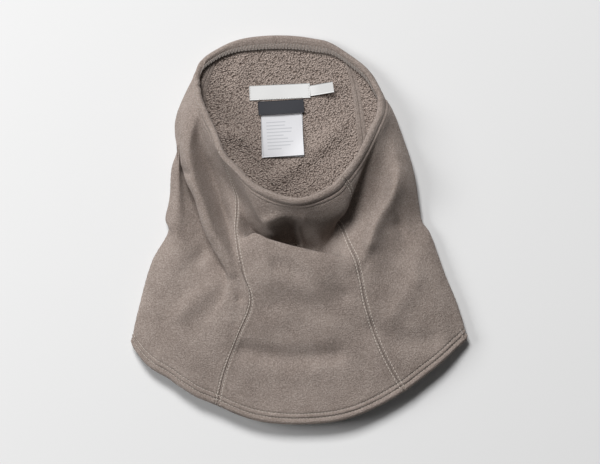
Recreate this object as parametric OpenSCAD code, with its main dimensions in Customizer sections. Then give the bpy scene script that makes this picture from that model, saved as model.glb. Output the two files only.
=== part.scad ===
// Fleece neck gaiter, lying on its back with the collar pulled open.
// Four panels are joined by four seams, whose allowances are pressed open and
// topstitched. Each panel's top and bottom edge is turned in and sewn down.
// The labels are sewn inside the back of the collar.

/* [Garment] */
// Width across the bottom hem
hem_width = 340; // [320:5:360]
// Length from the lowest point of the hem to the back of the collar
garment_length = 389; // [370:1:400]
// Width across the open collar
collar_width = 194; // [180:2:204]
// Height of the front of the collar above the surface it lies on
collar_height = 70; // [60:1:80]
// Height of the front hem above that surface
hem_height = 22; // [21:0.5:26]
// Thickness of the fleece
fleece = 2.4; // [2.2:0.1:2.6]

/* [Seams] */
// Width of a panel's pressed-open allowance, in degrees round the tube
allowance_turn = 3.3; // [2.8:0.1:3.8]
// Distance of each topstitched row from its seam, in degrees round the tube
topstitch_turn = 1.5; // [1.2:0.1:2]
// Depth of the ditch along each seam
seam_ditch = 0.6; // [0.3:0.1:0.9]
// Thread width
thread = 0.8; // [0.6:0.1:1]

/* [Labels] */
// Width of the main label
main_label_w = 61; // [55:1:64]
// Height of the main label
main_label_h = 14.5; // [12:0.5:16]
// Length of the care label below its hinge line
care_label_l = 56; // [45:1:60]
// Width of the care label
care_label_w = 41; // [35:1:44]
// How far the free end of the flag label stands up, in degrees
flag_rise = 18; // [15:1:25]

/* [Hidden] */

fleece_color = [0.55, 0.50, 0.47];
thread_color = [0.66, 0.61, 0.57];
label_color = [0.92, 0.92, 0.92];
charcoal_color = [0.22, 0.22, 0.24];

// The tube is described by v, from 0 at the hem to 1 at the collar, and by an
// angle round it from the middle of the back, growing towards +X.
back_y = garment_length / 2;
front_hem_y = -garment_length / 2;
back_hem_y = front_hem_y + 24;
side_hem_y = front_hem_y + 82;
front_collar_y = back_y - 163;
side_collar_y = back_y - 70;
collar_shift = -7;
collar_skew = 0.14;
// The open collar is egg-shaped: narrower at the front by this share
egg = 0.25;
// The hem's side folds are round, of this radius
fold_r = 9;
// The tube is flat on the surface between these angles either side of the back
flat_turn = 50;

// Angles of the four seams, and the first again after a full turn
hem_seams = [-48, 38, 125, 222, 312];
collar_seams = [-40, 34, 148, 242, 320];
BACK_LEFT = 0;
BACK_RIGHT = 1;
FRONT_RIGHT = 2;
FRONT_LEFT = 3;

// A turned hem is two layers with a little air between them
layer_gap = 0.4;
hem_depth = 2 * fleece + layer_gap;
hem_turn = 0.045;
hem_fold = 0.012;
row_step = 0.05;
// Steps across each panel, with more where a side panel folds
panel_columns = [10, 18, 10, 18];

function lerp(a, b, t) = a + (b - a) * t;
function clamp01(t) = min(1, max(0, t));
function ease(t) = let (c = clamp01(t)) c * c * (3 - 2 * c);
function unit(a) = a / norm(a);
function seam(i, v) = lerp(hem_seams[i], collar_seams[i], v);
function signed(turn) = turn > 180 ? turn - 360 : turn;

// Half a flattened ring: flat back, round side fold, crowned front
function flat_ring(half_w, top, turn) =
    let (
        run = half_w - fold_r,
        fold_len = PI * fold_r,
        at = abs(turn) / 180 * (2 * run + fold_len)
    )
    at < run ? [at, 0]
    : at < run + fold_len ?
        let (bend = (at - run) / fold_len * 180)
        [run + fold_r * sin(bend), fold_r - fold_r * cos(bend)]
    : let (x = 2 * run + fold_len - at)
        [x, 2 * fold_r + (top - 2 * fold_r) * (1 + cos(180 * x / run)) / 2];

// Half the open collar's ring: egg-shaped, rising from back to front
function egg_ring(half_w, top, turn) =
    let (rise = clamp01((abs(turn) - flat_turn) / (180 - flat_turn)))
    [half_w * sin(abs(turn)) * (1 + egg * cos(turn)), top * (1 - cos(180 * pow(rise, 0.9))) / 2];

// A point on the outside of the tube
function skin(any_turn, v) =
    let (
        turn = signed(any_turn),
        open = ease(v),
        half_w = lerp(hem_width, collar_width, v) / 2,
        top = lerp(hem_height, collar_height, pow(clamp01(v), 1.5)),
        ring = lerp(flat_ring(half_w, top, turn), egg_ring(half_w, top, turn), open),
        y_back = lerp(back_hem_y, back_y, v),
        y_front = lerp(front_hem_y, front_collar_y, v),
        y_mid = (y_back + y_front) / 2,
        y_side = lerp(side_hem_y, side_collar_y, v) - y_mid,
        across = ring[0] / half_w,
        y = y_mid + (y_back - y_front) / 2 * cos(turn) + y_side * across * across,
        skew = open * (collar_shift - collar_skew * (y - (back_y + front_collar_y) / 2))
    )
    [sign(turn) * ring[0] + skew, y, ring[1]];

// The direction into the fabric there
function inward(turn, v) =
    let (s = 0.5, t = 0.004)
    unit(cross(skin(turn + s, v) - skin(turn - s, v), skin(turn, v + t) - skin(turn, v - t)));

function place(turn, v, depth) = skin(turn, v) + depth * inward(turn, v);

// Rows of a panel as [v, depth] of its outer face and [v, depth] of its inner face.
// The first and last rows are the raw edges of the turned hems.
hem_rows = [
    [hem_turn, hem_depth, hem_turn, fleece + layer_gap],
    [hem_fold, hem_depth, hem_fold, fleece + layer_gap],
    [hem_fold * 0.25, hem_depth * 0.8, hem_fold * 0.9, fleece + layer_gap * 0.8],
    [0, hem_depth / 2, hem_fold * 0.8, hem_depth / 2],
    [hem_fold * 0.25, hem_depth * 0.2, hem_fold * 0.9, fleece + layer_gap * 0.2],
    [hem_fold, 0, hem_fold, fleece],
    [hem_turn, 0, hem_turn, fleece]
];
collar_rows = [for (i = [len(hem_rows) - 1:-1:0])
    let (r = hem_rows[i]) [1 - r[0], r[1], 1 - r[2], r[3]]];
open_rows = [for (v = [2 * row_step:row_step:1.001 - 2 * row_step]) [v, 0, v, fleece]];
panel_rows = concat(hem_rows, open_rows, collar_rows);

// How far a panel is doubled by its allowance at v: not within the turned hems
function doubled(v) = min(v, 1 - v) > hem_turn + 0.005 ? fleece : 0;

// Columns of a panel as [share of the way across, degrees past it, extra outer
// depth, share of the doubling], from one seam to the next
function panel_columns_of(i) =
    let (n = panel_columns[i], step = 0.25, a = allowance_turn)
    concat(
        [[0, 0, seam_ditch, 1], [0, a / 3, 0, 1], [0, a, 0, 1], [0, a + step, 0, 0]],
        [for (c = [1:n - 1]) [c / n, 0, 0, 0]],
        [[1, -a - step, 0, 0], [1, -a, 0, 1], [1, -a / 3, 0, 1], [1, 0, seam_ditch, 1]]
    );

// A closed skin over a grid of outer points and the same grid of inner points
module skin_solid(outer, inner) {
    rows = len(outer);
    wide = len(outer[0]);
    count = rows * wide;
    function quad(a, b, c, d) = [[a, b, c], [a, c, d]];
    faces = [
        for (r = [0:rows - 2]) for (c = [0:wide - 2])
            let (a = r * wide + c)
            each concat(
                quad(a, a + 1, a + 1 + wide, a + wide),
                quad(count + a, count + a + wide, count + a + 1 + wide, count + a + 1)
            ),
        for (r = [0:rows - 2])
            let (a = r * wide, b = a + wide - 1)
            each concat(
                quad(a, a + wide, count + a + wide, count + a),
                quad(b, count + b, count + b + wide, b + wide)
            ),
        for (c = [0:wide - 2])
            let (b = count - wide + c)
            each concat(
                quad(c, count + c, count + c + 1, c + 1),
                quad(b, b + 1, count + b + 1, count + b)
            )
    ];
    polyhedron([for (grid = [outer, inner]) for (row = grid) each row], faces);
}

// A panel between two neighbouring seams, thicker along both by its allowances
module panel(i) {
    cols = panel_columns_of(i);
    function turn(c, v) = lerp(seam(i, v), seam(i + 1, v), c[0]) + c[1];
    // The ditch fades out where the hem's fold turns over
    function ditch(c, v, depth) = depth == 0 && min(v, 1 - v) > hem_fold ? c[2] : 0;
    skin_solid(
        [for (r = panel_rows) [for (c = cols) place(turn(c, r[0]), r[0], r[1] + ditch(c, r[0], r[1]))]],
        [for (r = panel_rows) [for (c = cols) place(turn(c, r[2]), r[2], r[3] + c[3] * doubled(r[2]))]]
    );
}

// A thin ribbon along a seam, so many degrees off it, between two depths
module seam_ribbon(i, offset, half_turn, outer, inner) {
    from = hem_fold;
    steps = round((1 - 2 * from) / row_step);
    function grid(depth) = [for (k = [0:steps])
        let (v = lerp(from, 1 - from, k / steps))
        [for (side = [-1, 1]) place(seam(i, v) + offset + side * half_turn, v, depth)]];
    skin_solid(grid(outer), grid(inner));
}

// A closed hoop right round the tube, with its section's corners as [v, depth]
module hoop(corners) {
    v0 = corners[0][0];
    turns = [for (i = [0:3]) for (c = [0:panel_columns[i] - 1])
        lerp(seam(i, v0), seam(i + 1, v0), c / panel_columns[i])];
    count = len(turns);
    points = [for (turn = turns) for (k = corners) place(turn, k[0], k[1])];
    faces = [for (n = [0:count - 1]) for (k = [0:3])
        let (
            a = n * 4 + k,
            b = n * 4 + (k + 1) % 4,
            step = ((n + 1) % count - n) * 4
        )
        each [[a, b, b + step], [a, b + step, a + step]]];
    polyhedron(points, faces);
}

// The back panel lies flat, so it is cut from flat sheet between its two seams
module back_panel() {
    rows = [for (r = panel_rows) if (r[1] == 0) r[0]];
    inset = hem_turn + 0.01;
    a = allowance_turn;
    function flat(turn, v) = let (p = skin(turn, v)) [p[0], p[1]];
    function reversed(list) = [for (k = [len(list) - 1:-1:0]) list[k]];
    // Between two v, and between two lines that are each [seam, degrees past it]
    module sheet(from, to, low, high, left = [BACK_LEFT, 0], right = [BACK_RIGHT, 0]) {
        vs = concat([from], [for (v = rows) if (v > from + 0.001 && v < to - 0.001) v], [to]);
        function side(line) = [for (v = vs) flat(seam(line[0], v) + line[1], v)];
        function across(v) = [for (c = [1:panel_columns[0] - 1])
            flat(lerp(seam(left[0], v) + left[1], seam(right[0], v) + right[1], c / panel_columns[0]), v)];
        translate([0, 0, low])
            linear_extrude(high - low)
                polygon(concat(across(from), side(right), reversed(across(to)), reversed(side(left))));
    }
    color(fleece_color) {
        sheet(0, 1, 0, fleece);
        sheet(0, hem_fold, 0, hem_depth);
        sheet(0, hem_turn, fleece + layer_gap, hem_depth);
        sheet(1 - hem_fold, 1, 0, hem_depth);
        sheet(1 - hem_turn, 1, fleece + layer_gap, hem_depth);
        sheet(inset, 1 - inset, 0, 2 * fleece, right = [BACK_LEFT, a]);
        sheet(inset, 1 - inset, 0, 2 * fleece, left = [BACK_RIGHT, -a]);
    }
}

module right_side_panel() { color(fleece_color) panel(BACK_RIGHT); }
module front_panel() { color(fleece_color) panel(FRONT_RIGHT); }
module left_side_panel() { color(fleece_color) panel(FRONT_LEFT); }

// The hidden row that joins two panels, between their faces and allowances
module seam_thread(i) {
    color(thread_color)
        seam_ribbon(i, 0, thread / 4, fleece - thread / 2, fleece + thread / 2);
}

// Two rows of topstitching, one either side of a seam, sunk into the nap
module seam_topstitching(i) {
    sink = 0.6;
    color(thread_color)
        for (side = [-1, 1])
            seam_ribbon(i, side * topstitch_turn, thread / 4, 0, sink);
}

// Two rows of stitching round a hem, the further one covering the raw edge
module hem_stitching(rows) {
    sink = 0.6;
    half = 0.0015;
    color(thread_color)
        for (v = rows)
            hoop([[v - half, 0], [v + half, 0], [v + half, sink], [v - half, sink]]);
}

// The looper thread of the same stitching, lying flat inside over the raw edge
module looper_thread(from, to) {
    clear = 0.1;
    flat = 0.5;
    color(thread_color)
        hoop([
            [from, hem_depth + clear], [to, hem_depth + clear],
            [to, hem_depth + clear + flat], [from, hem_depth + clear + flat]
        ]);
}

// Labels are placed in their own frame, turned a little on the back panel.
label_x = -19;
label_y = back_y - 55.5;
label_tilt = 3;
label_clear = 0.2;
label_z = fleece + label_clear;
label_t = 0.5;
leaf_t = 0.3;
leaf_gap = 0.1;
hinge_gap = 1.75;
hinge_y = -main_label_h / 2 - hinge_gap;
fabric_label_w = 46;
fabric_label_l = 13;
flag_label_w = 23;
flag_label_h = 10.5;
flap_x = 0.5;

module at_labels() { translate([label_x, label_y, 0]) rotate(label_tilt) children(); }

// A flap that hangs below the hinge line
module flap(width, length, low, thick) {
    translate([flap_x - width / 2, hinge_y - length, low]) cube([width, length, thick]);
}

module main_label() {
    color(label_color) at_labels()
        translate([-main_label_w / 2, -main_label_h / 2, label_z])
            cube([main_label_w, main_label_h, label_t]);
}

// Short stitches down both ends of the main label
module main_label_stitching() {
    stitch = 1.8;
    pitch = 3;
    count = 4;
    inset = 1.2;
    color(label_color) at_labels()
        for (side = [-1, 1]) for (k = [0:count - 1])
            translate([
                side * (main_label_w / 2 - inset) - thread / 4,
                (k - (count - 1) / 2) * pitch - stitch / 2,
                label_z + label_t
            ])
                cube([thread / 2, stitch, thread / 2]);
}

// The row that holds the top edges of the flap labels
module flap_label_stitching() {
    stitch = 2;
    pitch = 3.2;
    count = 13;
    color(thread_color) at_labels()
        for (k = [0:count - 1])
            translate([flap_x + (k - (count - 1) / 2) * pitch - stitch / 2, hinge_y + 0.9, fleece])
                cube([stitch, thread / 2, label_clear]);
}

module care_label_under_leaf() {
    color(label_color) at_labels() flap(care_label_w + 1, care_label_l + 1, label_z, leaf_t);
}

module care_label_top_leaf() {
    color(label_color) at_labels() flap(care_label_w, care_label_l, label_z + leaf_t + leaf_gap, leaf_t);
}

module fabric_label() {
    low = label_z + 2 * (leaf_t + leaf_gap) + leaf_gap;
    color(charcoal_color) at_labels() flap(fabric_label_w, fabric_label_l, low, label_t);
}

module flag_label() {
    color(label_color) at_labels()
        translate([main_label_w / 2 + 0.8, 0.5, label_z + label_t])
            rotate([0, -flag_rise, 0])
                translate([0, -flag_label_h / 2, 0])
                    cube([flag_label_w, flag_label_h, label_t]);
}

back_panel();
right_side_panel();
front_panel();
left_side_panel();
seam_thread(BACK_RIGHT);  // back_right_seam_thread
seam_thread(FRONT_RIGHT);  // front_right_seam_thread
seam_thread(FRONT_LEFT);  // front_left_seam_thread
seam_thread(BACK_LEFT);  // back_left_seam_thread
seam_topstitching(BACK_RIGHT);  // back_right_seam_topstitching
seam_topstitching(FRONT_RIGHT);  // front_right_seam_topstitching
seam_topstitching(FRONT_LEFT);  // front_left_seam_topstitching
seam_topstitching(BACK_LEFT);  // back_left_seam_topstitching
hem_stitching([0.962, 0.978]);  // collar_hem_stitching
looper_thread(0.957, 0.98);  // collar_hem_looper_thread
hem_stitching([0.022, 0.038]);  // bottom_hem_stitching
looper_thread(0.02, 0.043);  // bottom_hem_looper_thread
main_label();
main_label_stitching();
flap_label_stitching();
flag_label();
fabric_label();
care_label_top_leaf();
care_label_under_leaf();
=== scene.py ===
import bpy
import math
import numpy as np
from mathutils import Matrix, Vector, noise


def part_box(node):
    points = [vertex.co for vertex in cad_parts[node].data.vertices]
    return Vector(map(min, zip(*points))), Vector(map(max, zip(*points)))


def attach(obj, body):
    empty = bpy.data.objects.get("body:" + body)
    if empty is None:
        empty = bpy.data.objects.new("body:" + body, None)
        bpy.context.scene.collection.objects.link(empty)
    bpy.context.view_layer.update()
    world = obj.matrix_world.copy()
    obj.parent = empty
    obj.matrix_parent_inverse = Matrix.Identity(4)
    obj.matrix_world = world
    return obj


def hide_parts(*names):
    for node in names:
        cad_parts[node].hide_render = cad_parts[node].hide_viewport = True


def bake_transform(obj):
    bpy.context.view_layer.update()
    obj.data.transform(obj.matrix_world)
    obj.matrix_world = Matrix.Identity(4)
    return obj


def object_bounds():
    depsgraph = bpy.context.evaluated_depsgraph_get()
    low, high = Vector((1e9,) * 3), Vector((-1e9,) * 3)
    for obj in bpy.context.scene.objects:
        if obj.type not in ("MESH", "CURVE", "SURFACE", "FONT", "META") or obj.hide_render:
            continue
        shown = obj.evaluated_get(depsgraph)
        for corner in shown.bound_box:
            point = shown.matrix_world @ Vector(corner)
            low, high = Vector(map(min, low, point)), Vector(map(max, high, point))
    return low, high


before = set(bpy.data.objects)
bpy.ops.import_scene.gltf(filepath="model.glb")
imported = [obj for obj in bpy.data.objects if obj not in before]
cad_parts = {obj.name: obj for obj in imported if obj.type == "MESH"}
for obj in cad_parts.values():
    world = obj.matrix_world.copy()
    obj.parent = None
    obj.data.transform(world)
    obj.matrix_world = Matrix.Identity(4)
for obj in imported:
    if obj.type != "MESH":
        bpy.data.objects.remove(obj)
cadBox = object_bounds()
print("stage: frame loaded")

mm = 0.001
designSize = (337.0, 388.8, 69.0)  # the lie below was drawn for a gaiter of this size, in mm
cadSize = np.array(cadBox[1]) - np.array(cadBox[0])
cadMiddle = (np.array(cadBox[1]) + np.array(cadBox[0])) / 2
fit = cadSize / (np.array(designSize) * mm)

# How the gaiter lies. Each column runs from the bottom hem to the collar as (x, y, z) in mm, and is
# named by what it follows. They go round the tube from the back left seam by way of the front.
lieRows = [0, .12, .27, .42, .54, .63, .67, .74, .80, .90, 1]  # how far up the cloth each place is
lie = {
    "backLeftSeam": [
        (-90, -146, 0), (-92, -104, 0), (-94, -62, 0), (-96, -20, 0),
        (-98, 18, 0), (-100, 48, 0), (-101, 62, 0), (-102, 85, 0),
        (-101, 110, 1), (-95, 148, 3), (-80, 183.5, 8)],
    "leftUnder": [
        (-136, -129, 0), (-132, -96, 0), (-126, -56, 0), (-120, -16, 0),
        (-119, 16, 0), (-117, 50, 0), (-117, 62, 0), (-116, 84, 1),
        (-115, 108, 2), (-110, 136, 5), (-97, 172, 11)],
    "leftFold": [
        (-169, -113, 9), (-161, -78, 9), (-148, -32, 9), (-131, -1, 9),
        (-134, 13, 9), (-129.5, 36, 9), (-128.5, 58, 9), (-122, 81, 9),
        (-124.5, 97, 9), (-121, 121, 10), (-101.5, 160, 15)],
    "leftLobe": [
        (-160, -127.5, 15), (-150, -90, 17), (-136, -46, 19), (-123, -12, 18),
        (-125, 6, 17), (-122, 28, 17), (-121.5, 49, 17), (-120.5, 69, 16),
        (-121, 86, 16), (-120.5, 112, 16), (-102.5, 152, 18)],
    "leftPlain": [
        (-147.5, -139.5, 17), (-134, -104, 20), (-114, -64, 23), (-101, -32, 19),
        (-108, -8, 14), (-112, 14, 13), (-114, 35, 12), (-117, 56, 13),
        (-119, 75, 15), (-119, 105, 20), (-102, 147, 22)],
    "strapUnder": [
        (-131, -149, 18), (-118, -116, 22), (-86, -79, 25), (-73, -47, 23),
        (-84, -17, 12), (-92, 8, 8), (-97.5, 28, 7), (-107, 48, 9),
        (-115, 68, 14), (-118, 101, 23), (-101.5, 143, 24)],
    "strapEdge": [
        (-123, -155, 19), (-107, -121, 23), (-78, -80, 28), (-71, -46, 31),
        (-88, -15, 29), (-98.5, 10, 28), (-104, 29, 27), (-113.5, 50, 25),
        (-118.5, 70, 22), (-116.5, 99, 27), (-100.5, 138, 29)],
    "strapRidge": [
        (-112, -162, 20), (-96, -128, 24), (-71, -84, 29), (-65, -51, 34),
        (-79, -17, 37), (-90, 7, 38), (-95.5, 27, 37), (-103.5, 47, 36),
        (-109, 66, 35), (-109, 94, 33), (-98, 130, 34)],
    "leftValley": [
        (-102, -168, 20), (-88, -134, 24), (-67, -89, 29), (-58.5, -54, 33),
        (-65, -26, 34), (-71.5, 0, 22), (-76, 17, 13), (-82, 37, 12),
        (-88, 57, 14), (-98, 88, 25), (-93, 115, 41)],
    "wallLeftEdge": [
        (-92, -172, 20), (-81, -140, 24), (-64, -98, 28), (-53, -62, 33),
        (-59, -35, 35), (-65.5, -9, 28), (-67, 7, 21), (-70, 26, 17),
        (-75, 45, 18), (-84, 73, 31), (-86, 97, 47)],
    "frontLeftSeam": [
        (-82, -176, 20), (-75, -145, 24), (-61, -107, 28), (-47.5, -70, 32),
        (-56, -42, 35), (-61, -17, 33), (-63, -2, 28), (-62, 17, 23),
        (-62, 31, 23), (-71, 57, 36), (-81, 80, 52)],
    "ledgeLeft": [
        (-63, -184.5, 20), (-59, -152, 24), (-50, -112, 27), (-39, -73, 31),
        (-43, -40, 38), (-46, -3, 34), (-48, -9, 25), (-49, 3, 14),
        (-47, 11, 24), (-55, 37, 42), (-66, 63, 57)],
    "frontLeft": [
        (-41, -191.5, 20), (-39, -158, 21.5), (-35, -116, 27), (-31, -76, 30),
        (-29, -40, 41), (-30, -9, 35), (-32, -22, 25), (-32, -13, 5),
        (-29, -5, 26), (-38, 12, 47), (-49, 47, 62)],
    "frontMiddle": [
        (0, -195, 20), (-1, -160, 21.5), (-3, -118, 27), (-5, -77, 30),
        (-6, -43, 41), (-6, -16, 35), (-7, -30, 26), (-7, -19, 4),
        (-7, -1, 13), (-10, 14, 46), (-14, 30, 67)],
    "frontRight": [
        (50, -189, 21), (46, -154, 22.5), (39, -113, 28), (32, -75, 30),
        (26, -49, 40), (20, -22, 35), (19, -36, 26), (17, -25, 5),
        (20, -10, 15), (18, 12, 47), (14, 32, 68)],
    "wallRightEdge": [
        (80, -177, 20), (71, -145, 24), (59, -108, 27), (50, -75, 31),
        (43, -52, 35), (38, -26, 35), (36, -34, 25), (30, -16, 9),
        (36, 3, 18), (45, 19, 47), (34, 43, 66)],
    "frontRightSeam": [
        (106, -162, 20), (91, -136, 25), (76, -103, 29), (66, -70, 32),
        (61, -44, 34), (56, -26, 35), (50, -14, 29), (43, 3, 18),
        (38, 12, 18), (53, 34, 45), (44, 53, 62)],
    "rightCrease": [
        (125, -148, 19), (112, -124, 22), (97, -92, 27), (83, -58, 31),
        (74, -28, 34), (69, -8, 34), (67, 6, 27), (63, 28, 25),
        (60, 50, 30), (67, 69, 41), (61, 75, 50)],
    "rightValley": [
        (144.5, -132.5, 18), (133, -108, 21), (119, -78, 24), (104, -46, 26),
        (94, -14, 22), (84, 14, 27), (84, 26, 27), (81, 52, 25),
        (80, 80, 32), (80, 97, 37), (71, 99, 42)],
    "rightRidge": [
        (157.5, -120.5, 15), (148, -98, 18), (136, -66, 20), (119, -32, 20),
        (107, 2, 16), (103, 28, 25), (100, 46, 34), (97, 70, 29),
        (92, 92, 24), (88, 112, 29), (78, 113, 36)],
    "rightFold": [
        (169.5, -109, 9), (160, -77, 9), (146, -42, 9), (132, -3, 9),
        (123.5, 10, 9), (120.5, 28, 9), (118, 46, 10), (112.5, 70, 10),
        (105, 92, 11), (92.5, 123, 15), (81.5, 131, 25)],
    "rightUnder": [
        (128, -134, 0), (122, -98, 0), (113, -58, 0), (104, -20, 0),
        (98, 10, 0), (95, 34, 0), (94, 46, 0), (92, 66, 0),
        (89, 88, 1), (86, 122, 6), (79.5, 146, 17)],
    "backRightRim": [
        (104, -143, 0), (98, -104, 0), (92, -62, 0), (86, -20, 0),
        (82, 12, 0), (80, 40, 0), (79, 54, 0), (78, 76, 0),
        (77, 97, 1), (75, 132, 4), (69, 163, 11)],
    "backRightSeam": [
        (80, -150, 0), (76, -110, 0), (72, -66, 0), (69, -22, 0),
        (67, 14, 0), (66, 45, 0), (66, 60, 0), (65, 84, 0),
        (63, 106, 0), (57, 146, 2), (46, 180.3, 6)],
    "backRight": [
        (26, -167, 0), (24, -124, 0), (22, -76, 0), (20, -26, 0),
        (19, 14, 0), (18, 46, 0), (18, 62, 0), (18, 86, 0),
        (18, 110, 0), (16, 152, 1), (12, 193, 5)],
    "backLeft": [
        (-34, -167, 0), (-34, -124, 0), (-35, -76, 0), (-36, -26, 0),
        (-36, 14, 0), (-36, 46, 0), (-36, 62, 0), (-37, 86, 0),
        (-37, 110, 0), (-38, 154, 1), (-38, 195, 5)],
}
# Soft ridges and hollows added to the upper side of the cloth, in mm
folds = {
    "lobeCrease": {"path": [(-129, 64), (-120, 61), (-111, 56)], "height": -4.5, "width": 3},
    "strapEnd": {"path": [(-66, -50), (-62, -59), (-59, -68)], "height": -3, "width": 4.5},
    "wallFoot": {"path": [(-33, 7), (-22, 11), (-8, 12), (4, 10)], "height": 4, "width": 5.5},
    "cavityFold": {"path": [(-1, 3), (1, -6), (4, -15)], "height": 4, "width": 3},
    "cavityPit": {"path": [(-4, -9), (4, -13), (14, -16)], "height": -4, "width": 5},
    "ledgeHollow": {"path": [(-20, -36), (4, -46), (26, -57), (44, -65)], "height": -3, "width": 9},
    "lowHollow": {"path": [(-57, -121), (-10, -128), (36, -124)], "height": -5, "width": 10},
    "rightHollow": {"path": [(101, 5), (111, -5), (121, -14)], "height": -5.5, "width": 8},
    "rightNotch": {"path": [(125, 7), (116, -3)], "height": -3.5, "width": 3.5},
    "rightRidge": {
        "path": [(102, 44), (92, 30), (82, 17), (75, 3), (71, -12)], "height": 6, "width": 8.5},
    "leftSweep": {"path": [(-118, -84), (-98, -66), (-82, -52)], "height": 3, "width": 10},
    "leftDip": {"path": [(-132, -48), (-112, -34), (-98, -26)], "height": -4.5, "width": 8},
    "rightSweep": {"path": [(92, -88), (112, -62), (128, -28)], "height": 2.5, "width": 10},
    "rightDip": {"path": [(76, -98), (96, -112), (132, -110)], "height": -2.5, "width": 10},
    "bellySweep": {"path": [(-36, -92), (-6, -84), (30, -96)], "height": 2, "width": 12},
}
# The same for the back panel, seen through the collar
insideFolds = {
    "middleSweep": {"path": [(-22, 52), (8, 74), (38, 98)], "height": 3.5, "width": 9},
    "leftSweep": {"path": [(-72, 96), (-52, 92), (-30, 70)], "height": 3, "width": 9},
    "topSweep": {"path": [(-60, 150), (-56, 168)], "height": 1.5, "width": 8},
}
undulation = {"large": (0.070, 2.0 * mm), "small": (0.026, 0.5 * mm)}  # size and depth
# The seams in their order round the tube, and the start of their nodes' names. Places round the
# tube are counted in turns, one for each seam.
seams = {
    "backLeft": "back_left", "frontLeft": "front_left",
    "frontRight": "front_right", "backRight": "back_right"}
allTurns = len(seams)
cloth = {
    "around": 340, "along": 150, "smoothing": 2,  # cells of the lie's grid, and passes over it
    "wrap": 3,  # columns repeated past each end, so that the ring closes smoothly
    # Where the folds are let in: first turn, turns to fade in, last turn and turns to fade out
    "upper": (0.4, 0.1, 2.5, 0.1), "inside": (2.75, 0.15, 3.95, 0.1),
    "hemFade": 0.04, "collarFade": 0.06,  # the same at the ends of the upper side, as shares
}


def bump(x, centre, width):
    return np.exp(-(((x - centre) / width) ** 2))


def ease(x):
    x = np.clip(x, 0, 1)
    return x * x * (3 - 2 * x)


# A smooth curve through points that stand at the knots, read at the given places
def splineThrough(knots, points, places):
    knots, points = np.asarray(knots, float), np.asarray(points, float)
    wide = (-1,) + (1,) * (points.ndim - 1)
    steps = np.diff(knots).reshape(wide)
    slopes = np.diff(points, axis=0) / steps
    speeds = np.linalg.norm(slopes, axis=-1, keepdims=True)
    tangents = np.empty_like(points)
    inner = (slopes[:-1] * steps[1:] + slopes[1:] * steps[:-1]) / (steps[:-1] + steps[1:])
    slower, faster = np.minimum(speeds[:-1], speeds[1:]), np.maximum(speeds[:-1], speeds[1:])
    limit = 2 * slower + 0.2 * faster  # keeps the curve from looping past a close pair of points
    inner *= np.minimum(1, limit / np.maximum(np.linalg.norm(inner, axis=-1, keepdims=True), 1e-9))
    tangents[1:-1] = inner
    tangents[0], tangents[-1] = slopes[0], slopes[-1]
    i = np.clip(np.searchsorted(knots, places, side="right") - 1, 0, len(knots) - 2)
    t = ((places - knots[i]) / np.diff(knots)[i]).reshape(wide)
    h = steps[i]
    return (
        points[i] * (1 + 2 * t) * (1 - t) ** 2 + tangents[i] * h * t * (1 - t) ** 2
        + points[i + 1] * t * t * (3 - 2 * t) + tangents[i + 1] * h * t * t * (t - 1)
    )


def pathDistance(points, path):  # how far each point lies from a path, seen from above
    nearest = np.full(points.shape[:-1], 1e9)
    for a, b in zip(np.array(path[:-1], float), np.array(path[1:], float)):
        share = np.clip(((points - a) @ (b - a)) / ((b - a) @ (b - a)), 0, 1)
        away = np.linalg.norm(points - a - share[..., None] * (b - a), axis=-1)
        nearest = np.minimum(nearest, away)
    return nearest


def dents(points, size, depth, seed):  # soft undulation, the same for the same seed, in metres
    offset = Vector((seed * 7.1, seed * 3.7, seed * 1.9))
    flat = points.reshape(-1, 3) / size
    values = np.array([noise.noise(Vector(p) + offset) for p in flat])
    return values.reshape(points.shape[:-1]) * depth


# Each column's place round the tube, in turns: whole at the seams, and between them by how far
# apart the columns lie
def placesRound(routes):
    names = list(lie)
    starts = [names.index(seam + "Seam") for seam in seams] + [len(names)]
    places = []
    for panel, (first, last) in enumerate(zip(starts[:-1], starts[1:])):
        group = np.concatenate([routes[first:last], routes[last % len(names)][None]])
        gaps = np.linalg.norm(np.diff(group, axis=0), axis=-1).mean(axis=1)
        places += list(panel + np.concatenate([[0], np.cumsum(gaps)[:-1]]) / gaps.sum())
    return np.array(places)


def between(turns, first, fadeIn, last, fadeOut):  # 1 from the first turn to the last, else 0
    return (ease((turns - first) / fadeIn) * ease((last - turns) / fadeOut))[:, None]


def layOut():
    rows = np.linspace(0, 1, cloth["along"] + 1)
    turns = placesRound(np.array(list(lie.values()), float))
    routes = np.array([splineThrough(lieRows, route, rows) for route in lie.values()])
    wrap = cloth["wrap"]
    turns = np.concatenate([turns[-wrap:] - allTurns, turns, turns[:wrap] + allTurns])
    routes = np.concatenate([routes[-wrap:], routes, routes[:wrap]])
    around = np.arange(cloth["around"]) * allTurns / cloth["around"]
    grid = splineThrough(turns, routes, around)
    for _ in range(cloth["smoothing"]):
        middle = (np.roll(grid, 1, 0) + np.roll(grid, -1, 0)) / 2
        middle[:, 1:-1] = middle[:, 1:-1] / 2 + (grid[:, 2:] + grid[:, :-2]) / 4
        grid = grid / 2 + middle / 2
    upper, inside = between(around, *cloth["upper"]), between(around, *cloth["inside"])
    upper = upper * ease(rows / cloth["hemFade"]) * ease((1 - rows) / cloth["collarFade"])
    for group, share in ((folds, upper), (insideFolds, inside)):
        for fold in group.values():
            away = pathDistance(grid[..., :2], fold["path"]) / fold["width"]
            grid[..., 2] += fold["height"] * np.exp(-away ** 2) * share
    for seed, (size, depth) in enumerate(undulation.values()):
        grid[..., 2] += dents(grid * mm, size, depth, seed + 3) / mm * upper
    grid[..., 2] = np.maximum(grid[..., 2], 0)
    return grid * mm * fit + [cadMiddle[0], cadMiddle[1], 0]


clothGrid = layOut()
print("stage: cloth laid out")


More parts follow.
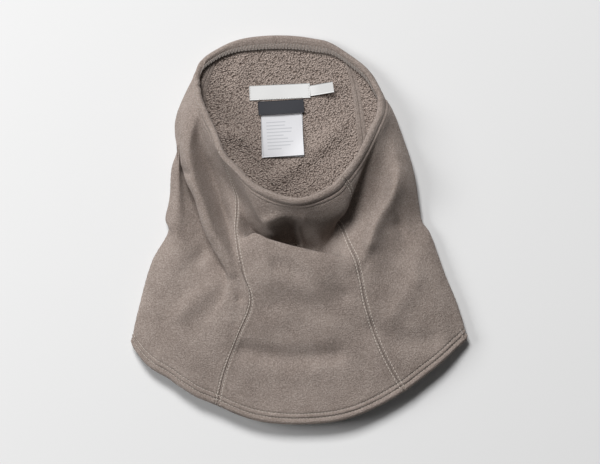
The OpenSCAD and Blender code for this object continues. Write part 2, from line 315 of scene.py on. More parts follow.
def cubicWeights(t):  # of the four grid points about a place, t past the second
    return [
        (-t ** 3 + 2 * t ** 2 - t) / 2, (3 * t ** 3 - 5 * t ** 2 + 2) / 2,
        (-3 * t ** 3 + 4 * t ** 2 + t) / 2, (t ** 3 - t ** 2) / 2,
    ]


def clothAt(turn, height):  # points of the cloth, from turns round the tube and shares up it
    a, b = np.broadcast_arrays(np.asarray(turn, float), np.asarray(height, float))
    a, b = a * cloth["around"] / allTurns, np.clip(b, 0, 1) * cloth["along"]
    i, j = np.floor(a).astype(int), np.minimum(np.floor(b).astype(int), cloth["along"] - 1)
    across, along = cubicWeights(a - i), cubicWeights(b - j)
    out = np.zeros(a.shape + (3,))
    for p in range(4):
        for q in range(4):
            point = clothGrid[(i + p - 1) % cloth["around"], np.clip(j + q - 1, 0, cloth["along"])]
            out += (across[p] * along[q])[..., None] * point
    return out


def clothNormal(turn, height):  # outwards, away from the cloth's inner face
    step = 0.006
    low, high = np.maximum(height - step, 0), np.minimum(height + step, 1)
    across = clothAt(turn + step, height) - clothAt(turn - step, height)
    along = clothAt(turn, high) - clothAt(turn, low)
    normal = np.cross(across, along)
    return normal / np.maximum(np.linalg.norm(normal, axis=-1, keepdims=True), 1e-9)


def metresPerShare(turn, height):  # the cloth's length up the tube for each share of height
    step = 0.01
    low, high = max(height - step, 0), min(height + step, 1)
    return np.linalg.norm(clothAt(turn, high) - clothAt(turn, low), axis=-1) / (high - low)


# Turns across a panel at one height, and how many metres each is from the panel's first seam
def panelRuler(panel, height, count=121):
    turns = np.linspace(panel, panel + 1, count)
    points = clothAt(turns, np.full(count, height))
    metres = np.concatenate([[0], np.cumsum(np.linalg.norm(np.diff(points, axis=0), axis=1))])
    return turns, metres


fleece = {
    "thickness": 2.6 * mm,
    "hemGap": 0.2 * mm,
    "collarTurnUp": 13.5 * mm,
    "bottomTurnUp": 12.5 * mm,
    "allowance": 5.5 * mm, "allowanceEdge": 1.6 * mm,
    "doubling": 0.7 * mm, "partingWidth": 0.6 * mm,  # the pressed allowances inside, and their gap
    "stitchOffset": 2.2 * mm,  # from a seam to each of its topstitched rows
    "stitchSink": {"seam": 0.55 * mm, "hem": 0.8 * mm},  # how deep the stitches are drawn in
    # What the outside does beside a seam, as (from the seam, width, depth)
    "seamRelief": [
        (0, 0.65 * mm, 1.0 * mm), (2.2 * mm, 0.9 * mm, 0.7 * mm),
        (1.1 * mm, 0.7 * mm, -0.3 * mm), (3.4 * mm, 1.2 * mm, -0.2 * mm)],
    "puff": 0.7 * mm, "secondPuff": 0.6,  # how far a hem swells, and its share past the first row
    "insideShare": 0.6, "rawEdge": 0.4 * mm,  # how the hem's inside follows, and its end thins
    "foldSteps": 8,
    "undulation": (0.009, 0.18 * mm), "pebble": (0.0027, 0.35 * mm),  # size and depth
}
hemRows = {"bottom": [6.2 * mm, 10.8 * mm], "collar": [8.2 * mm, 12.4 * mm]}  # from the edge
hemGrooves = {"bottom": [1.35 * mm, 1.35 * mm], "collar": [0.675 * mm, 0.315 * mm]}  # their depths
grooveHalf = 0.5 * mm


# A hem's section from the raw edge round to the outside. Each row holds the distance from the
# fold and the depth, first of its outer layer and then of its inner one.
def hemProfile(rows, grooves, turnUp):
    thick, gap = fleece["thickness"], fleece["hemGap"]
    deep = 2 * thick + gap
    radius = deep / 2
    gapBetween = rows[1] - rows[0]
    distances = [radius, 0.45 * rows[0], 0.8 * rows[0], (rows[0] + rows[1]) / 2, turnUp]
    for row in rows:
        distances += [row - grooveHalf, row, row + grooveHalf]
    distances = sorted(set(distances))

    def rise(d):
        groove = sum(bump(d, row, grooveHalf) * drawn for row, drawn in zip(rows, grooves))
        first, second = min(d / rows[0], 1), min(max((d - rows[0]) / gapBetween, 0), 1)
        swell = math.sin(math.pi * first) + math.sin(math.pi * second) * fleece["secondPuff"]
        return swell * fleece["puff"] - groove

    profile = [(turnUp, deep - fleece["rawEdge"], turnUp, thick + gap)]
    for d in reversed(distances[:-1]):
        profile.append((d, deep + rise(d) * fleece["insideShare"], d, thick + gap))
    for step in range(1, fleece["foldSteps"]):
        angle = math.pi * step / fleece["foldSteps"]
        profile.append((
            radius - radius * math.sin(angle), radius + radius * math.cos(angle),
            radius - gap * math.sin(angle) / 2, radius + gap * math.cos(angle) / 2,
        ))
    for d in distances:
        profile.append((d, -rise(d), d, thick))
    return profile


# Each panel's first seam, its mesh's spacing, what it lies on and what is sewn to it
panels = {
    "leftSidePanel": {
        "node": "left_side_panel", "seam": 0, "spacing": 1.7 * mm,
        "restsOn": ["backPanel"], "carries": ["backLeftTopstitching"]},
    "frontPanel": {
        "node": "front_panel", "seam": 1, "spacing": 1.7 * mm,
        "restsOn": ["leftSidePanel", "rightSidePanel", "backPanel"],
        "carries": ["frontLeftTopstitching"]},
    "rightSidePanel": {
        "node": "right_side_panel", "seam": 2, "spacing": 1.7 * mm,
        "restsOn": ["backPanel"], "carries": ["frontRightTopstitching"]},
    "backPanel": {
        "node": "back_panel", "seam": 3, "spacing": 1.4 * mm, "restsOn": [],
        "carries": [
            "backRightTopstitching", "collarHemStitching", "collarHemLooperThread",
            "bottomHemStitching", "bottomHemLooperThread"]},
}
panelMesh = {
    "nearSeam": [0, .35, .7, 1.05, 1.5, 1.9, 2.2, 2.5, 2.8, 3.1, 3.6, 4.3, 5.1, 5.7, 6.4],  # mm
    "width": 165 * mm, "length": 300 * mm,  # about what is left between seams and between hems
    "bodyStart": 0.04, "bodyShare": 0.92,  # the heights its width is measured at, between hems
}


def meshObject(name, points, faces, smooth=True):
    mesh = bpy.data.meshes.new(name)
    points, faces = np.asarray(points, np.float32), np.asarray(faces, np.int32)
    count, corners = faces.shape
    mesh.vertices.add(len(points))
    mesh.vertices.foreach_set("co", points.ravel())
    mesh.loops.add(count * corners)
    mesh.loops.foreach_set("vertex_index", faces.ravel())
    mesh.polygons.add(count)
    mesh.polygons.foreach_set("loop_start", np.arange(0, count * corners, corners, dtype=np.int32))
    mesh.update(calc_edges=True)
    mesh.validate()
    mesh.polygons.foreach_set("use_smooth", [smooth] * len(mesh.polygons))
    obj = bpy.data.objects.new(name, mesh)
    bpy.context.scene.collection.objects.link(obj)
    return obj


def gridQuads(rows, columns, start=0, flip=False):
    r, c = np.meshgrid(np.arange(rows - 1), np.arange(columns - 1), indexing="ij")
    a = (start + r * columns + c).ravel()
    quads = np.stack([a, a + 1, a + 1 + columns, a + columns], axis=1)
    return quads[:, ::-1] if flip else quads


def stripQuads(first, second):
    return np.stack([first[:-1], first[1:], second[1:], second[:-1]], axis=1)


def closedSheet(rows, columns, edges):  # two layers of a grid, joined along these edges
    count = rows * columns
    layers = [gridQuads(rows, columns), gridQuads(rows, columns, count, flip=True)]
    return np.concatenate(layers + [stripQuads(edge, edge + count) for edge in edges])


# Every mesh row's turns across a panel, and its distances from the nearer seam
def panelColumns(plan, heights):
    near = np.array(panelMesh["nearSeam"]) * mm
    middleColumns = int(panelMesh["width"] / plan["spacing"])
    turn, fromSeam, rulers = [], [], {}
    for height in heights:
        key = round(float(height), 2)
        if key not in rulers:
            rulers[key] = panelRuler(plan["seam"], key)
        turns, metres = rulers[key]
        width = metres[-1]
        middle = np.linspace(near[-1], width - near[-1], middleColumns + 2)[1:-1]
        places = np.concatenate([near, middle, width - near[::-1]])
        turn.append(np.interp(places, metres, turns))
        fromSeam.append(np.minimum(places, width - places))
    return np.array(turn), np.array(fromSeam)


# Heights and depths of a panel's rows, for its outer layer, 0, or its inner layer, 1
def panelLayer(side, hem, collar, shares, turn):
    hemRate, collarRate = metresPerShare(turn[0], 0.0), metresPerShare(turn[-1], 1.0)
    low = np.array([row[2 * side] for row in hem])[:, None] / hemRate
    high = 1 - np.array([row[2 * side] for row in collar])[:, None] / collarRate
    start, end = hem[-1][0] / hemRate, 1 - collar[0][0] / collarRate
    body = start + shares[:, None] * (end - start)
    depth = np.concatenate([
        [row[2 * side + 1] for row in hem], np.full(len(shares), side * fleece["thickness"]),
        [row[2 * side + 1] for row in collar]])
    return np.concatenate([low, body, high]), depth[:, None] * np.ones_like(turn)


def outerFace(turn, fromSeam, height, depth, shown):  # shown is 1 for the rows that face outwards
    points = clothAt(turn, height)
    relief = sum(bump(fromSeam, at, width) * deep for at, width, deep in fleece["seamRelief"])
    depth = depth + relief * shown + dents(points, *fleece["undulation"], 1) * shown
    face = points - clothNormal(turn, height) * depth[..., None]
    face[..., 2] = np.maximum(face[..., 2], 0)
    return face


def innerFace(turn, fromSeam, height, depth, shown):  # shown is 1 for the rows between the hems
    points = clothAt(turn, height)
    doubled = ease((fleece["allowance"] - fromSeam) / fleece["allowanceEdge"])
    doubled = (doubled - bump(fromSeam, 0, fleece["partingWidth"])) * fleece["doubling"]
    pebbles = dents(points, *fleece["pebble"], 2) * ease((fromSeam - fleece["allowance"]) / mm)
    depth = depth + doubled * shown + pebbles * shown
    return points - clothNormal(turn, height) * depth[..., None]


def showPile(panel, isBody, fromSeam):  # curled pile inside, clear of the hems and allowances
    rows, columns = fromSeam.shape
    perLayer = (rows - 1) * (columns - 1)
    inner = (isBody[:-1] & isBody[1:])[:, None] & (fromSeam > fleece["allowance"])[:-1, :-1]
    finish = np.zeros(len(panel.data.polygons), np.int32)
    finish[perLayer:2 * perLayer] = inner.ravel()
    panel.data.materials.append(materials["nap"])
    panel.data.materials.append(materials["pile"])
    panel.data.polygons.foreach_set("material_index", finish)
    panel.data.update()


def buildPanel(name, plan):
    hem = hemProfile(hemRows["bottom"], hemGrooves["bottom"], fleece["bottomTurnUp"])
    collar = hemProfile(hemRows["collar"], hemGrooves["collar"], fleece["collarTurnUp"])[::-1]
    bodyRows = int(panelMesh["length"] / plan["spacing"])
    shares = (np.arange(bodyRows) + 1) / (bodyRows + 1)
    turn, fromSeam = panelColumns(plan, np.concatenate([
        [row[0] / panelMesh["length"] for row in hem],
        shares * panelMesh["bodyShare"] + panelMesh["bodyStart"],
        [1 - row[0] / panelMesh["length"] for row in collar]]))

    isBody = np.array([False] * len(hem) + [True] * bodyRows + [False] * len(collar))
    facesOut = [row[1] < fleece["thickness"] / 2 for row in hem + collar]
    isOutside = np.array(facesOut[:len(hem)] + [True] * bodyRows + facesOut[len(hem):])
    height, depth = panelLayer(0, hem, collar, shares, turn)
    outer = outerFace(turn, fromSeam, height, depth, isOutside[:, None])
    height, depth = panelLayer(1, hem, collar, shares, turn)
    inner = innerFace(turn, fromSeam, height, depth, isBody[:, None])

    rows, columns = turn.shape
    index = np.arange(rows * columns).reshape(rows, columns)
    faces = closedSheet(
        rows, columns, [index[:, 0], index[::-1, -1], index[0, ::-1], index[-1]])
    panel = meshObject(name, np.concatenate([outer.reshape(-1, 3), inner.reshape(-1, 3)]), faces)
    showPile(panel, isBody, fromSeam)
    return panel


def newMaterial(name, color, roughness):
    material = bpy.data.materials.new(name)
    material.use_nodes = True
    shader = material.node_tree.nodes["Principled BSDF"]
    shader.inputs["Base Color"].default_value = (*color, 1)
    shader.inputs["Roughness"].default_value = roughness
    shader.inputs["Specular IOR Level"].default_value = 0.2
    return material, material.node_tree, shader


def linear(red, green, blue):
    def one(value):
        value /= 255
        return value / 12.92 if value <= 0.04045 else ((value + 0.055) / 1.055) ** 2.4
    return one(red), one(green), one(blue)


def noiseNode(tree, scale, detail=2, roughness=0.5, distortion=0.0):
    node = tree.nodes.new("ShaderNodeTexNoise")
    node.inputs["Scale"].default_value = scale
    node.inputs["Detail"].default_value = detail
    node.inputs["Roughness"].default_value = roughness
    node.inputs["Distortion"].default_value = distortion
    place = tree.nodes.new("ShaderNodeTexCoord")
    tree.links.new(place.outputs["Object"], node.inputs["Vector"])
    return node


def ramp(tree, source, stops):
    node = tree.nodes.new("ShaderNodeValToRGB")
    while len(node.color_ramp.elements) < len(stops):
        node.color_ramp.elements.new(0.5)
    for element, (position, color) in zip(node.color_ramp.elements, stops):
        element.position = position
        element.color = (*linear(*color), 1)
    tree.links.new(source, node.inputs["Fac"])
    return node.outputs["Color"]


def mixNode(tree, kind, factor, first, second):  # 4 to 7 are the node's vector and color inputs
    node = tree.nodes.new("ShaderNodeMix")
    node.data_type = kind
    node.inputs["Factor"].default_value = factor
    a = {"VECTOR": 4, "RGBA": 6}[kind]
    tree.links.new(first, node.inputs[a])
    tree.links.new(second, node.inputs[a + 1])
    return node.outputs[{"VECTOR": 1, "RGBA": 2}[kind]]


def addRelief(tree, shader, height, strength, distance, invert=False):
    node = tree.nodes.new("ShaderNodeBump")
    node.inputs["Strength"].default_value = strength
    node.inputs["Distance"].default_value = distance
    node.invert = invert
    tree.links.new(height, node.inputs["Height"])
    tree.links.new(node.outputs["Normal"], shader.inputs["Normal"])


def addSheen(shader, look):
    shader.inputs["Sheen Weight"].default_value = look["sheen"]
    shader.inputs["Sheen Roughness"].default_value = look["sheenRoughness"]


# Colors are 0 to 255, scales are per metre and reliefs are strength and metres
napLook = {
    "dark": (120, 108, 100), "mean": (151, 138, 130), "light": (183, 170, 162),
    "shade": (131, 118, 110), "rubbed": (157, 144, 136),
    "roughness": 0.95, "sheen": 0.1, "sheenRoughness": 0.6,
    "broadScale": 40, "tuftScale": 760, "relief": (0.9, 0.0016)}
# The pile's crevice colour is painted shade between its curls, and its tip colour is painted light
# on their tops; mean is the pile's own colour.
pileLook = {
    "creviceShade": (96, 83, 75), "mean": (167, 152, 143), "litTip": (196, 180, 170),
    "roughness": 0.95, "sheen": 0.08, "sheenRoughness": 0.6,
    "warpScale": 260, "warp": 0.0022, "curlScale": 640, "smoothness": 0.35, "relief": (1.0, 0.0021)}
threadLook = {"roughness": 0.8, "plyScale": 1500, "relief": (0.4, 0.0002)}
labelLook = {"waver": 0.4, "relief": (0.25, 0.0001)}


def napMaterial():
    look = napLook
    material, tree, shader = newMaterial("fleeceNap", linear(*look["mean"]), look["roughness"])
    broad = noiseNode(tree, look["broadScale"], 3)
    tufts = noiseNode(tree, look["tuftScale"], 2, 0.7, 0.5)
    worn = ramp(tree, broad.outputs["Fac"], [(0.35, look["shade"]), (0.65, look["rubbed"])])
    speckle = ramp(tree, tufts.outputs["Fac"], [
        (0.38, look["dark"]), (0.5, look["mean"]), (0.62, look["light"])])
    color = mixNode(tree, "RGBA", 0.5, worn, speckle)
    tree.links.new(color, shader.inputs["Base Color"])
    addRelief(tree, shader, tufts.outputs["Fac"], *look["relief"])
    addSheen(shader, look)
    return material


def pileMaterial():
    look = pileLook
    material, tree, shader = newMaterial("fleecePile", linear(*look["mean"]), look["roughness"])
    place = tree.nodes.new("ShaderNodeTexCoord")
    warp = noiseNode(tree, look["warpScale"], 2)
    bent = mixNode(
        tree, "VECTOR", look["warp"], place.outputs["Object"], warp.outputs["Color"])
    curls = tree.nodes.new("ShaderNodeTexVoronoi")
    curls.feature = "SMOOTH_F1"
    curls.inputs["Scale"].default_value = look["curlScale"]
    curls.inputs["Smoothness"].default_value = look["smoothness"]
    tree.links.new(bent, curls.inputs["Vector"])
    # Painted shade darkens the pile towards each curl's edge, where the relief sinks, and painted
    # light brightens the middle of each curl.
    color = ramp(tree, curls.outputs["Distance"], [
        (0.14, look["litTip"]), (0.44, look["mean"]), (0.86, look["creviceShade"])])
    tree.links.new(color, shader.inputs["Base Color"])
    addRelief(tree, shader, curls.outputs["Distance"], *look["relief"], invert=True)
    addSheen(shader, look)
    return material


def wovenMaterial(name, color, roughness, ribs):  # a tight weave, with fine ribs across it
    material, tree, shader = newMaterial(name, linear(*color), roughness)
    wave = tree.nodes.new("ShaderNodeTexWave")
    wave.bands_direction = "Y"
    wave.inputs["Scale"].default_value = ribs
    wave.inputs["Distortion"].default_value = labelLook["waver"]
    place = tree.nodes.new("ShaderNodeTexCoord")
    tree.links.new(place.outputs["Object"], wave.inputs["Vector"])
    addRelief(tree, shader, wave.outputs["Fac"], *labelLook["relief"])
    return material


def threadMaterial(name, dark, light):
    material, tree, shader = newMaterial(name, linear(*light), threadLook["roughness"])
    plies = noiseNode(tree, threadLook["plyScale"], 2)
    color = ramp(tree, plies.outputs["Fac"], [(0.3, dark), (0.7, light)])
    tree.links.new(color, shader.inputs["Base Color"])
    addRelief(tree, shader, plies.outputs["Fac"], *threadLook["relief"])
    return material


materials = {
    "nap": napMaterial(),
    "pile": pileMaterial(),
    "thread": threadMaterial("seamThread", (178, 168, 159), (212, 203, 194)),
    "looper": threadMaterial("looperThread", (124, 117, 112), (168, 160, 154)),
    "labelThread": threadMaterial("labelThread", (190, 188, 184), (232, 231, 228)),
    "woven": wovenMaterial("wovenLabel", (221, 221, 220), 0.7, 600),
    "charcoal": wovenMaterial("charcoalLabel", (52, 53, 58), 0.6, 600),
    "satin": wovenMaterial("satinLabel", (216, 216, 219), 0.4, 900),
    "print": wovenMaterial("labelPrint", (192, 193, 197), 0.6, 600),
}
print("stage: materials made")

for panelName, plan in panels.items():
    piece = buildPanel(panelName, plan)
    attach(piece, "root")
    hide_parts(plan["node"])
    print("stage: panel", panelName, len(piece.data.polygons))

seamStitch = {"length": 3.25 * mm, "pitch": 3.3 * mm, "radius": 0.46 * mm, "rise": 0.3 * mm}
hemStitch = {"length": 2.9 * mm, "pitch": 3.3 * mm, "radius": 0.36 * mm, "rise": 0}
labelStitch = {"length": 1.9 * mm, "pitch": 2.4 * mm, "radius": 0.2 * mm, "rise": 0.1 * mm}
stitchMesh = {"sides": 6, "rings": 5, "sunk": 0.9, "taper": 0.55}  # the last two of the radius


def stitchFaces(sides, rings):  # one stitch is a tube of quads, closed by quads at both ends
    faces = []
    for ring in range(rings - 1):
        for side in range(sides):
            a, b = ring * sides + side, ring * sides + (side + 1) % sides
            faces.append((a, b, b + sides, a + sides))
    for base in (0, (rings - 1) * sides):
        for k in range(1, sides // 2):
            loop = (base + k - 1, base + k, base + sides - 1 - k, base + sides - k)
            faces.append(loop[::-1] if base == 0 else loop)
    return np.array(faces)


# Separate stitches along a path, each a thread that dips into the cloth at both ends
def stitchTubes(name, path, normal, plan, material):
    steps = np.linalg.norm(np.diff(path, axis=0), axis=1)
    along = np.concatenate([[0], np.cumsum(steps)])
    count = int(along[-1] / plan["pitch"])
    sides, rings = stitchMesh["sides"], stitchMesh["rings"]
    share = np.linspace(0, 1, rings)
    place = (np.arange(count)[:, None] + 0.5) * along[-1] / count + (share - 0.5) * plan["length"]
    centre = np.stack([np.interp(place, along, path[:, k]) for k in range(3)], axis=-1)
    up = np.stack([np.interp(place, along, normal[:, k]) for k in range(3)], axis=-1)
    arch = np.sin(np.pi * share)
    lift = arch * (plan["rise"] + plan["radius"]) - plan["radius"] * stitchMesh["sunk"]
    centre = centre + up * lift[None, :, None]
    forward = np.gradient(centre, axis=1)
    forward /= np.linalg.norm(forward, axis=-1, keepdims=True)
    aside = np.cross(forward, up)
    aside /= np.linalg.norm(aside, axis=-1, keepdims=True)
    up = np.cross(aside, forward)
    thin = plan["radius"] * (stitchMesh["taper"] + (1 - stitchMesh["taper"]) * arch)
    angle = np.arange(sides) * 2 * math.pi / sides
    points = (
        centre[:, :, None]
        + aside[:, :, None] * (thin[:, None] * np.cos(angle))[None, :, :, None]
        + up[:, :, None] * (thin[:, None] * np.sin(angle))[None, :, :, None]
    )
    starts = (np.arange(count) * sides * rings)[:, None, None]
    faces = stitchFaces(sides, rings) + starts
    obj = meshObject(name, points.reshape(-1, 3), faces.reshape(-1, 4))
    obj.data.materials.append(material)
    return obj


def joinPieces(name, parts):
    bpy.ops.object.select_all(action="DESELECT")
    for part in parts:
        part.select_set(True)
    bpy.context.view_layer.objects.active = parts[0]
    bpy.ops.object.join()
    parts[0].name = name
    parts[0].data.name = name
    return parts[0]


def seamPath(place, aside, depth):  # a row beside a seam, from just above the hem to the collar
    heights = np.linspace(0.004, 0.996, 400)
    turns = []
    for height in heights:
        panel = place if aside >= 0 else (place - 1) % allTurns
        ruler, metres = panelRuler(panel, height)
        turns.append(np.interp(aside if aside >= 0 else metres[-1] + aside, metres, ruler))
    turns = np.array(turns)
    normal = clothNormal(turns, heights)
    return clothAt(turns, heights) - normal * depth, normal


def hemPath(edge, distance, depth):  # a row round the hem, where edge is 0, or the collar
    turns = np.linspace(0, allTurns, 1201)
    rate = metresPerShare(turns, float(edge))
    heights = distance / rate if edge == 0 else 1 - distance / rate
    normal = clothNormal(turns, heights)
    return clothAt(turns, heights) - normal * depth, normal


for place, (seamName, node) in enumerate(seams.items()):
    rows = []
    for aside in (-fleece["stitchOffset"], fleece["stitchOffset"]):
        path, normal = seamPath(place, aside, fleece["stitchSink"]["seam"])
        rows.append(stitchTubes("row", path, normal, seamStitch, materials["thread"]))
    piece = joinPieces(seamName + "Topstitching", rows)
    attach(piece, "root")
    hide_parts(node + "_seam_topstitching", node + "_seam_thread")
print("stage: seams stitched")

for hemName, edge in (("bottom", 0), ("collar", 1)):
    rows = []
    for distance in hemRows[hemName]:
        path, normal = hemPath(edge, distance, fleece["stitchSink"]["hem"])
        rows.append(stitchTubes("row", path, normal, hemStitch, materials["thread"]))
    piece = joinPieces(hemName + "HemStitching", rows)
    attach(piece, "root")
    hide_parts(hemName + "_hem_stitching")
print("stage: hems stitched")

looper = {
    "pitch": 3.3 * mm, "radius": 0.4 * mm, "sides": 5, "step": 0.75 * mm,
    "clear": 0.3 * mm, "past": 0.9 * mm}  # how far it stands off the hem, and laps past its rows


# One thread laid to and fro between two rows, over the raw edge inside a hem
def looperTube(name, edge, near, far, material):
    deep = 2 * fleece["thickness"] + fleece["hemGap"] + looper["clear"]
    low, normal = hemPath(edge, near, deep)
    high, _ = hemPath(edge, far, deep)
    along = np.concatenate([[0], np.cumsum(np.linalg.norm(np.diff(low, axis=0), axis=1))])
    laps = int(along[-1] / looper["pitch"])
    count = int(laps * 2 * (far - near + looper["pitch"]) / looper["step"])
    place = np.arange(count) / count
    share = ease(0.5 - 0.5 * np.cos(place * laps * 2 * math.pi))
    at = place * along[-1]

    def read(values):
        return np.stack([np.interp(at, along, values[:, k]) for k in range(3)], axis=-1)

    centre = read(low) * (1 - share[:, None]) + read(high) * share[:, None]
    up = -read(normal)
    forward = np.roll(centre, -1, 0) - np.roll(centre, 1, 0)
    forward /= np.linalg.norm(forward, axis=-1, keepdims=True)
    aside = np.cross(forward, up)
    aside /= np.linalg.norm(aside, axis=-1, keepdims=True)
    angle = np.arange(looper["sides"]) * 2 * math.pi / looper["sides"]
    points = (
        centre[:, None] + aside[:, None] * (looper["radius"] * np.cos(angle))[None, :, None]
        + up[:, None] * (looper["radius"] * np.sin(angle))[None, :, None]
    )
    ring = np.arange(count * looper["sides"]).reshape(count, looper["sides"])
    ahead = np.roll(ring, -1, 0)
    faces = np.stack([ring, np.roll(ring, -1, 1), np.roll(ahead, -1, 1), ahead], axis=-1)
    obj = meshObject(name, points.reshape(-1, 3), faces.reshape(-1, 4))
    obj.data.materials.append(material)
    return obj


for hemName, edge in (("bottom", 0), ("collar", 1)):
    near, far = hemRows[hemName]
    name = hemName + "HemLooperThread"
    piece = looperTube(name, edge, near, far + looper["past"], materials["looper"])
    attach(piece, "root")
    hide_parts(hemName + "_hem_looper_thread")
print("stage: looper threads laid")

# Each label is placed on its CAD node. Sizes are in mm and turns in degrees. Lift is how far it
# stands off the fleece, in mm, at share u across it and share v up it. Bend names the body that it
# would bend away from, and the u and v where that bend would start and end; the script finds
# that span but does not bend the label.
labels = {
    "mainLabel": {
        "restsOn": "backPanel", "carries": ["mainLabelStitching"],
        "node": "main_label", "body": "root", "slot": "woven_label", "finish": "woven",
        "size": (61, 14.5), "thickness": 0.5, "turn": 2.6,
        "lift": lambda u, v: 0.7 + 0.35 * np.sin(u * 9) * (1 - v) + 0.5 * ease((u - 0.85) / 0.15)},
    "careLabelUnderLeaf": {
        "restsOn": "backPanel",
        "node": "care_label_under_leaf", "body": "care_label",
        "slot": "satin_label", "finish": "satin",
        "size": (42, 57), "thickness": 0.25, "turn": 1.6,
        "lift": lambda u, v: 0.7 + 1.2 * (1 - v) ** 2 * (1 - u)},
    "careLabelTopLeaf": {
        "restsOn": "careLabelUnderLeaf",
        "node": "care_label_top_leaf", "body": "care_label",
        "slot": "satin_label", "finish": "satin",
        "size": (41, 56), "thickness": 0.3, "turn": 3.6,
        "lift": lambda u, v: (
            1.3 + 2.6 * (1 - v) ** 2 * (0.4 + 0.6 * u) + 0.8 * np.sin(v * 5 + u) * (1 - v))},
    "fabricLabel": {
        "restsOn": "careLabelTopLeaf", "carries": ["flapLabelStitching"],
        "node": "fabric_label", "body": "fabric_label",
        "slot": "charcoal_label", "finish": "charcoal",
        "size": (46, 13.6), "thickness": 0.5, "turn": 3.4,
        "bend": ("care_label", (0.5, 1), (0.5, -0.3)),
        "lift": lambda u, v: 1.7 + 1.9 * (1 - v) + 0.7 * np.sin(u * 3.2) * (1 - v)},
    "flagLabel": {
        "restsOn": "backPanel",
        "node": "flag_label", "body": "flag_label", "slot": "woven_label", "finish": "woven",
        "size": (24, 10.5), "thickness": 0.4, "turn": 9, "bend": ("root", (0.1, 0.5), (0.4, 0.5)),
        "lift": lambda u, v: 1.3 + 8.2 * u ** 1.05 + 2.2 * (v - 0.5) * ease(u * 2)},
}
labelMesh = {"spacing": 1.2, "edge": 0.6, "worn": 0.35}  # mm, mm, and share of the thickness
careLines = {
    "rows": 9, "from": 0.14, "to": 0.62, "left": 0.12, "shortest": 0.34, "more": 0.3,  # shares
    "height": 0.9 * mm, "rise": 0.06 * mm}
ground = {"firstTurn": 2.9, "fromShare": 0.5, "reach": 6 * mm}  # the cloth that the labels lie on


def insideHeights(points):  # the height of the back panel's inner face under each point
    turns = np.arange(cloth["around"]) * allTurns / cloth["around"]
    firstRow = int(ground["fromShare"] * cloth["along"])
    under = clothGrid[turns > ground["firstTurn"]][:, firstRow:].reshape(-1, 3)
    heights = []
    for point in points.reshape(-1, 2):
        away = ((under[:, :2] - point) ** 2).sum(axis=1)
        weight = np.exp(-away / ground["reach"] ** 2) + 1e-12
        heights.append((under[:, 2] * weight).sum() / weight.sum())
    return np.array(heights).reshape(points.shape[:-1]) + fleece["thickness"]


def labelPoints(plan, u, v, above):
    low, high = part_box(plan["node"])
    middle = (np.array(low) + np.array(high)) / 2
    width, tall = np.array(plan["size"]) * mm * fit[:2]
    angle = math.radians(plan["turn"])
    x, y = (u - 0.5) * width, (v - 0.5) * tall
    place = np.stack([
        middle[0] + x * math.cos(angle) - y * math.sin(angle),
        middle[1] + x * math.sin(angle) + y * math.cos(angle)], axis=-1)
    height = insideHeights(place) + plan["lift"](u, v) * mm + above
    return np.concatenate([place, height[..., None]], axis=-1)


def buildLabel(name, plan):
    width, tall = plan["size"]
    across, up = (int(length / labelMesh["spacing"]) + 2 for length in (width, tall))
    u, v = np.meshgrid(np.linspace(0, 1, across), np.linspace(0, 1, up))
    thick = plan["thickness"] * mm
    under = labelPoints(plan, u, v, 0)
    over = under + [0, 0, thick]
    inward = np.minimum(np.minimum(u, 1 - u) * width, np.minimum(v, 1 - v) * tall)
    over[..., 2] -= (1 - ease(inward / labelMesh["edge"])) * thick * labelMesh["worn"]
    index = np.arange(up * across).reshape(up, across)
    edges = [index[::-1, 0], index[:, -1], index[0], index[-1, ::-1]]
    faces = closedSheet(up, across, edges)
    obj = meshObject(name, np.concatenate([over.reshape(-1, 3), under.reshape(-1, 3)]), faces)
    obj.data.materials.append(materials[plan["finish"]])
    return obj


def printedLines(plan):  # plain bars where the care label carries print
    parts = []
    for row in range(careLines["rows"]):
        share = row / (careLines["rows"] - 1)
        middle = careLines["from"] + (careLines["to"] - careLines["from"]) * share
        length = careLines["shortest"] + careLines["more"] * abs(math.sin(row * 2.3))
        half = careLines["height"] / 2 / (plan["size"][1] * mm)
        left = careLines["left"]
        u, v = np.meshgrid(np.linspace(left, left + length, 24), [middle - half, middle + half])
        points = labelPoints(plan, u, v, plan["thickness"] * mm + careLines["rise"])
        parts.append(meshObject("line", points.reshape(-1, 3), gridQuads(2, 24)))
        parts[-1].data.materials.append(materials["print"])
    return parts


def bendSpan(plan):  # where a label's bend starts and ends, level with its start
    (u0, v0), (u1, v1) = plan["bend"][1:]
    near, far = labelPoints(plan, np.array([u0, u1]), np.array([v0, v1]), 0)
    return near, [far[0], far[1], near[2]]


for labelName, plan in labels.items():
    piece = buildLabel(labelName, plan)
    if labelName == "careLabelTopLeaf":
        joinPieces(labelName + "Lines", printedLines(plan)).parent = piece
    if "bend" in plan:
        start, end = bendSpan(plan)
        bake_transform(piece)
    else:
        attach(piece, plan["body"])
    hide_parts(plan["node"])
print("stage: labels made")


def stitchLine(name, start, end):  # stitches on the main label, between two of its u and v
    plan = labels["mainLabel"]
    share = np.linspace(0, 1, 60)
    u, v = start[0] + (end[0] - start[0]) * share, start[1] + (end[1] - start[1]) * share
    path = labelPoints(plan, u, v, plan["thickness"] * mm)
    normal = np.tile([0.0, 0.0, 1.0], (len(share), 1))
    return stitchTubes(name, path, normal, labelStitch, materials["labelThread"])


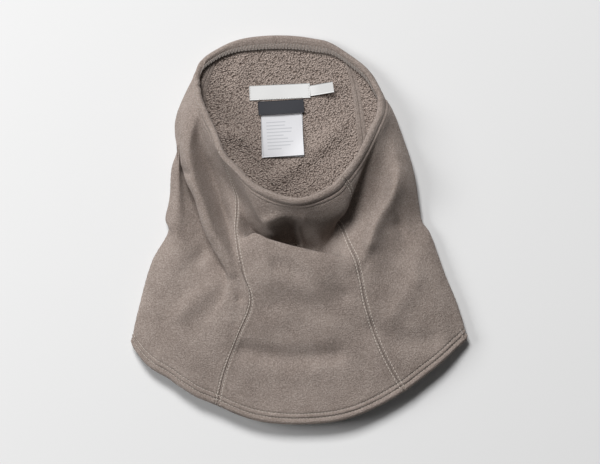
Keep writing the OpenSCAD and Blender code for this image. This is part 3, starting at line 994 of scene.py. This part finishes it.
ends = [stitchLine("row", (u, 0.06), (u, 0.94)) for u in (0.02, 0.98)]
piece = joinPieces("mainLabelStitching", ends)
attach(piece, "root")
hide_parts("main_label_stitching")
piece = stitchLine("flapLabelStitching", (0.14, 0.05), (0.88, 0.05))
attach(piece, "root")
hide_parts("flap_label_stitching")
print("stage: labels stitched")

# The camera looks straight down, and its frame is this wide at the level of the collar
view = {"lens": 180, "sensor": 36, "width": 0.600, "level": 0.02, "x": 0.0015, "y": -0.002}
paper = {
    "reach": 4, "color": (228, 228, 228), "roughness": 0.9, "scale": 300, "relief": (0.05, 0.0003)}
lights = {
    "key": {"place": (-1.1, 3.45, 4.35), "size": 1.7, "power": 293},
    "side": {"place": (-2.5, 0.4, 1.9), "size": 1.5, "power": 49},
}
skyStrength = 0.07


def makeCamera():
    data = bpy.data.cameras.new("camera")
    data.lens, data.sensor_width = view["lens"], view["sensor"]
    data.clip_end = 20
    camera = bpy.data.objects.new("camera", data)
    distance = view["width"] / 2 / (view["sensor"] / 2 / view["lens"])
    camera.location = (view["x"], view["y"], distance + view["level"])
    bpy.context.scene.collection.objects.link(camera)
    bpy.context.scene.camera = camera


def makeFloor():
    r = paper["reach"]
    corners = [(-r, -r, 0), (r, -r, 0), (r, r, 0), (-r, r, 0)]
    floor = meshObject("floor", corners, [(0, 1, 2, 3)], smooth=False)
    material, tree, shader = newMaterial("paper", linear(*paper["color"]), paper["roughness"])
    grain = noiseNode(tree, paper["scale"], 2)
    addRelief(tree, shader, grain.outputs["Fac"], *paper["relief"])
    floor.data.materials.append(material)


def makeLights():
    world = bpy.data.worlds.new("studio")
    world.use_nodes = True
    sky = world.node_tree.nodes["Background"]
    sky.inputs["Color"].default_value = (1, 1, 1, 1)
    sky.inputs["Strength"].default_value = skyStrength
    bpy.context.scene.world = world
    for name, plan in lights.items():
        data = bpy.data.lights.new(name, "AREA")
        data.shape, data.size, data.energy = "SQUARE", plan["size"], plan["power"]
        light = bpy.data.objects.new(name, data)
        light.location = plan["place"]
        aim = -Vector(plan["place"])
        light.rotation_euler = aim.to_track_quat("-Z", "Y").to_euler()
        bpy.context.scene.collection.objects.link(light)
    bpy.context.scene.view_settings.view_transform = "Standard"


makeCamera()
makeFloor()
makeLights()
print("stage: camera, floor and light")
